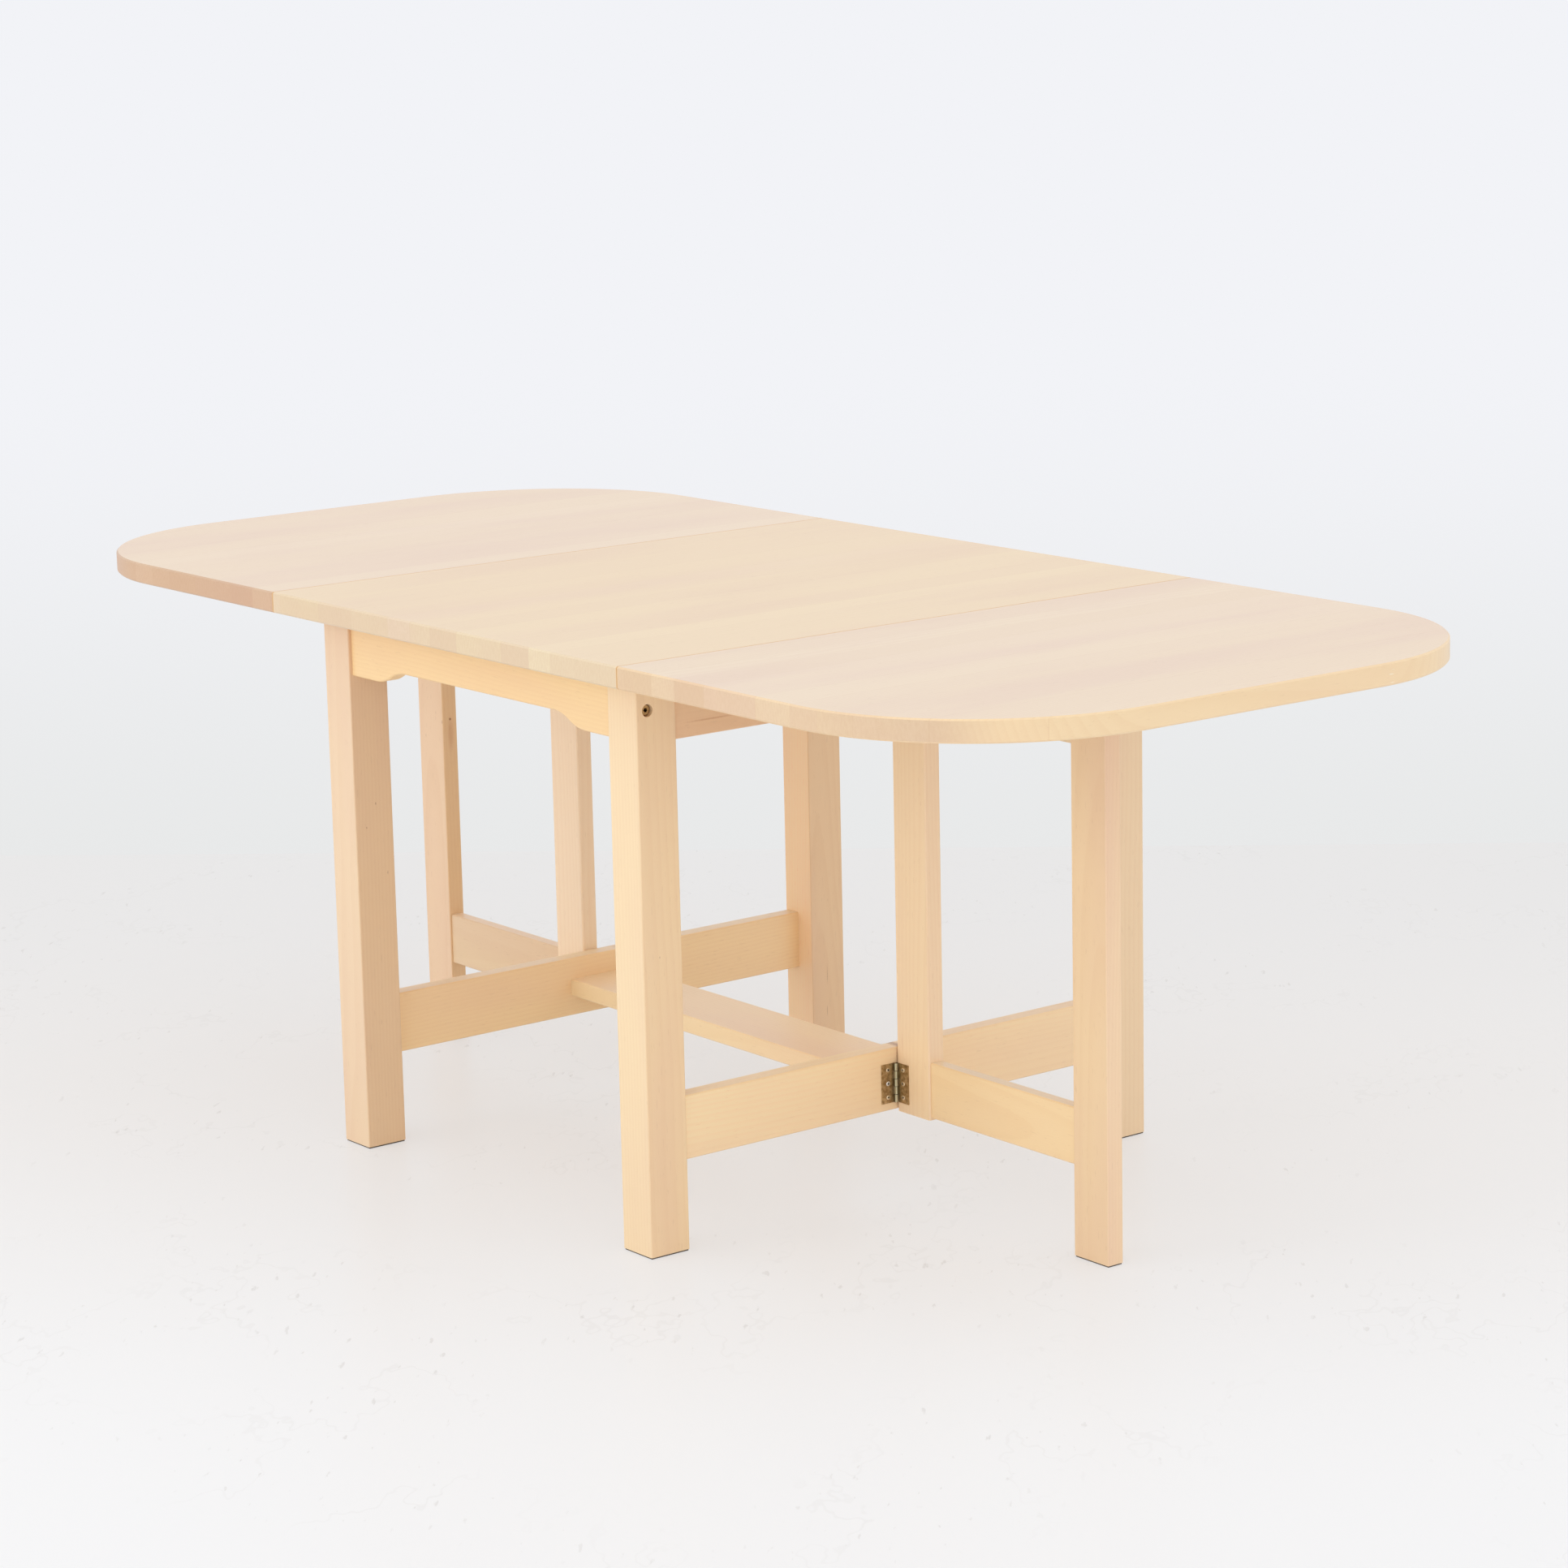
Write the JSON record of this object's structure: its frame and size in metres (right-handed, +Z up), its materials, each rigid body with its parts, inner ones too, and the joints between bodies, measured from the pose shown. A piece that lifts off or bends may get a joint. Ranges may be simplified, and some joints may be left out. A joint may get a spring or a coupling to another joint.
{
  "type": "gateleg drop-leaf table",
  "caption": "Rectangular table with two round-cornered leaves held up by swinging gate legs, an arched apron frame, low cross rails and a stretcher board.",
  "frame": {"origin": "on the floor under the middle of the open table top", "axes": "+X along the open table, +Y across it, +Z up"},
  "size_m": [1.95, 0.9, 0.73],
  "materials": {
    "top_wood": "clear satin lacquer on edge-glued pale hardwood",
    "frame_wood": "clear satin lacquer on pale hardwood",
    "dowel_wood": "bare",
    "hinge_metal": "aged",
    "bolt_metal": "antique",
    "zinc_metal": "zinc plated",
    "felt": "pressed felt"
  },
  "bodies": {
    "root": {"apron_back": "frame_wood", "apron_dowels": "dowel_wood", "apron_front": "frame_wood", "barrel_nuts": "zinc_metal", "board_dowels": "dowel_wood", "cross_apron_left": "frame_wood", "cross_apron_right": "frame_wood", "frame_bolts": "bolt_metal", "frame_foot_pads": "felt", "gate_hinge_frame_plates": "hinge_metal", "gate_hinge_pins": "hinge_metal", "leg_back_left": "frame_wood", "leg_back_right": "frame_wood", "leg_front_left": "frame_wood", "leg_front_right": "frame_wood", "lower_rail_left": "frame_wood", "lower_rail_right": "frame_wood", "seam_hinge_centre_plates": "hinge_metal", "seam_hinge_pins": "hinge_metal", "stretcher_board": "frame_wood", "top_brackets": "zinc_metal", "top_centre": "top_wood"},
    "gate_right": {"gate_right_foot_pad": "felt", "gate_right_hinge_plates": "hinge_metal", "gate_right_leg": "frame_wood", "gate_right_lower_rail": "frame_wood", "gate_right_post": "frame_wood", "gate_right_upper_rail": "frame_wood"},
    "gate_left": {"gate_left_foot_pad": "felt", "gate_left_hinge_plates": "hinge_metal", "gate_left_leg": "frame_wood", "gate_left_lower_rail": "frame_wood", "gate_left_post": "frame_wood", "gate_left_upper_rail": "frame_wood"},
    "leaf_right": {"leaf_right_hinge_plates": "hinge_metal", "leaf_right_panel": "top_wood", "leaf_right_stop_block": "frame_wood"},
    "leaf_left": {"leaf_left_hinge_plates": "hinge_metal", "leaf_left_panel": "top_wood", "leaf_left_stop_block": "frame_wood"}
  },
  "joints": [
    {"name": "gate_right_swing", "type": "hinge", "parent": "root", "child": "gate_right", "pos_m": [0.3378, -0.0168, 0], "axis": [0, 0, 1], "range_deg": [-90, 0]},
    {"name": "gate_left_swing", "type": "hinge", "parent": "root", "child": "gate_left", "pos_m": [-0.3378, 0.0168, 0], "axis": [0, 0, 1], "range_deg": [-90, 0]},
    {"name": "leaf_right_lift", "type": "hinge", "parent": "root", "child": "leaf_right", "pos_m": [0.375, 0, 0.7014], "axis": [0, -1, 0], "range_deg": [0, 1.2]},
    {"name": "leaf_left_lift", "type": "hinge", "parent": "root", "child": "leaf_left", "pos_m": [-0.375, 0, 0.7014], "axis": [0, 1, 0], "range_deg": [0, 1.2]}
  ]
}
